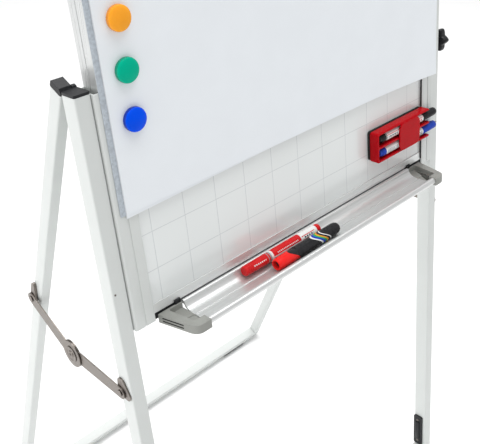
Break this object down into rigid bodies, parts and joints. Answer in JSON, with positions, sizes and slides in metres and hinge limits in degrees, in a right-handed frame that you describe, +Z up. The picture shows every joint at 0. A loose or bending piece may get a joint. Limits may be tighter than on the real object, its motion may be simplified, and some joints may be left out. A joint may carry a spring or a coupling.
{
  "type": "flipchart easel",
  "caption": "Folding flipchart easel of white steel tube with a height-adjustable whiteboard, aluminium frame, pad clamp, pen tray, folding side stays, magnets, markers and a pad",
  "frame": {"origin": "centre of the footprint on the floor, under the open easel", "axes": "+Z up, the board faces -Y and leans back, +X is to the right of someone facing the board"},
  "size_m": [0.6798, 0.5352, 1.695],
  "materials": {
    "white_steel": "satin white powder coat on steel tube and folded steel",
    "back_sheet": "thin galvanised and lacquered steel sheet",
    "white_enamel": "gloss white enamel with a faint printed grid",
    "cardboard": "honeycomb core hidden between the two sheets",
    "anodised_aluminium": "satin natural anodised extrusion with fine lengthwise lines",
    "grey_plastic": "fine textured mid-grey moulding",
    "black_plastic": "black moulding, satin",
    "rubber": "black rubber and foam",
    "nickel_steel": "warm nickel-plated pressed steel",
    "paper": "smooth white paper",
    "orange_plastic": "glossy domed plastic",
    "green_plastic": "glossy domed plastic",
    "blue_plastic": "glossy plastic",
    "red_plastic": "glossy red moulding",
    "white_plastic": "glossy white barrel"
  },
  "bodies": {
    "front_frame": {"front_leg_left": "white_steel", "front_leg_right": "white_steel", "front_foot_left": "black_plastic", "front_foot_right": "black_plastic", "guide_channel_left": "white_steel", "guide_channel_right": "white_steel", "front_hinge_cap_left": "black_plastic", "front_hinge_cap_right": "black_plastic", "hinge_pin_left": "nickel_steel", "hinge_pin_right": "nickel_steel", "catch_plate_left": "black_plastic", "catch_plate_right": "black_plastic", "stay_plate_left": "nickel_steel", "stay_plate_right": "nickel_steel", "front_crossbar": "white_steel"},
    "rear_frame": {"rear_leg_left": "white_steel", "rear_leg_right": "white_steel", "rear_crossbar": "white_steel", "rear_hinge_cap_left": "black_plastic", "rear_hinge_cap_right": "black_plastic", "rear_foot_left": "rubber", "rear_foot_right": "rubber", "stay_bracket_left": "nickel_steel", "stay_bracket_right": "nickel_steel"},
    "stay_front_arm_left": {"stay_front_arm_left": "nickel_steel"},
    "stay_front_arm_right": {"stay_front_arm_right": "nickel_steel"},
    "stay_rear_arm_left": {"stay_rear_arm_left": "nickel_steel", "stay_hub_rivet_left": "nickel_steel"},
    "stay_rear_arm_right": {"stay_rear_arm_right": "nickel_steel", "stay_hub_rivet_right": "nickel_steel"},
    "board": {"writing_sheet": "white_enamel", "board_core": "cardboard", "back_sheet": "back_sheet", "board_frame_left": "anodised_aluminium", "board_frame_right": "anodised_aluminium", "board_frame_top": "anodised_aluminium", "board_frame_bottom": "anodised_aluminium", "pen_tray": "anodised_aluminium", "tray_cap_left": "grey_plastic", "tray_cap_right": "grey_plastic", "tray_clip_left": "black_plastic", "tray_clip_right": "black_plastic", "paper_pad": "paper", "pad_hook_left": "black_plastic", "pad_hook_right": "black_plastic", "pad_clamp_rail": "anodised_aluminium", "magnet_orange": "orange_plastic", "magnet_green": "green_plastic", "magnet_blue": "blue_plastic", "wiper_pad": "rubber", "pen_holder": "red_plastic", "holder_pen_black": "black_plastic", "holder_pen_blue": "blue_plastic", "marker_white": "white_plastic", "marker_black": "black_plastic"},
    "pad_clamp": {"pad_clamp_bar": "anodised_aluminium"},
    "clamp_knob": {"clamp_knob": "black_plastic", "clamp_stud": "nickel_steel"}
  },
  "joints": [
    {"name": "rear_fold", "type": "hinge", "parent": "front_frame", "child": "rear_frame", "pos_m": [-0.00555, -0.11288, 0.984], "axis": [-1, 0, 0], "range_deg": [0, 27.5]},
    {"name": "stay_front_left", "type": "hinge", "parent": "front_frame", "child": "stay_front_arm_left", "pos_m": [-0.33505, -0.17095, 0.59622], "axis": [1, 0, 0], "range_deg": [0, 84.42]},
    {"name": "stay_rear_left", "type": "hinge", "parent": "rear_frame", "child": "stay_rear_arm_left", "pos_m": [-0.33725, 0.0289, 0.62808], "axis": [-1, 0, 0], "range_deg": [0, 84.9]},
    {"name": "stay_front_right", "type": "hinge", "parent": "front_frame", "child": "stay_front_arm_right", "pos_m": [0.32395, -0.17095, 0.59622], "axis": [1, 0, 0], "range_deg": [0, 84.42]},
    {"name": "stay_rear_right", "type": "hinge", "parent": "rear_frame", "child": "stay_rear_arm_right", "pos_m": [0.32615, 0.0289, 0.62808], "axis": [-1, 0, 0], "range_deg": [0, 84.9]},
    {"name": "board_slide", "type": "slide", "parent": "front_frame", "child": "board", "axis": [0, 0.1253, 0.9921], "range_m": [0, 0.15]},
    {"name": "pad_clamp_lift", "type": "hinge", "parent": "board", "child": "pad_clamp", "pos_m": [-0.00555, -0.06479, 1.69185], "axis": [-1, 0, 0], "range_deg": [0, 60]},
    {"name": "clamp_knob_turn", "type": "hinge", "parent": "front_frame", "child": "clamp_knob", "pos_m": [0.32245, -0.14279, 0.87892], "axis": [1, 0, 0], "range_deg": [0, 360]}
  ],
  "couplings": [
    {"joint": "stay_front_left", "follows": "rear_fold", "ratio": 3.0697},
    {"joint": "stay_rear_left", "follows": "rear_fold", "ratio": 3.0872},
    {"joint": "stay_front_right", "follows": "rear_fold", "ratio": 3.0697},
    {"joint": "stay_rear_right", "follows": "rear_fold", "ratio": 3.0872}
  ]
}
